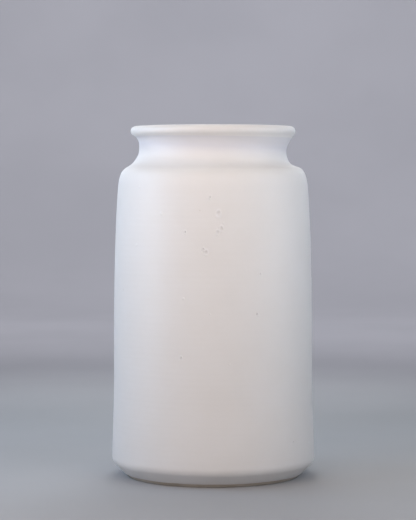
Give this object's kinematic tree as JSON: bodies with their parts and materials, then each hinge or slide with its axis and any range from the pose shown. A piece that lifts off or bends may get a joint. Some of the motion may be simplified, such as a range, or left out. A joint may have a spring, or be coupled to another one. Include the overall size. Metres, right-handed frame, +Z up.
{
  "type": "cylinder vase",
  "caption": "Tall cylindrical ceramic flower vase with a waisted neck, a flared and rolled lip, a bevelled base and a turned foot ring.",
  "frame": {"origin": "centre of the foot ring, on the surface that the vase stands on", "axes": "+Z up along the axis the vase was thrown about; the vase is round, so X and Y are free"},
  "size_m": [0.1162, 0.1162, 0.2],
  "materials": {
    "bare_clay": "dry, unglazed white stoneware, finely turned",
    "matt_white_glaze": "satin-matt white glaze",
    "liner_glaze": "smooth satin white liner glaze"
  },
  "bodies": {
    "root": {"clay_body": "bare_clay", "outside_glaze": "matt_white_glaze", "inside_glaze": "liner_glaze"}
  },
  "joints": []
}
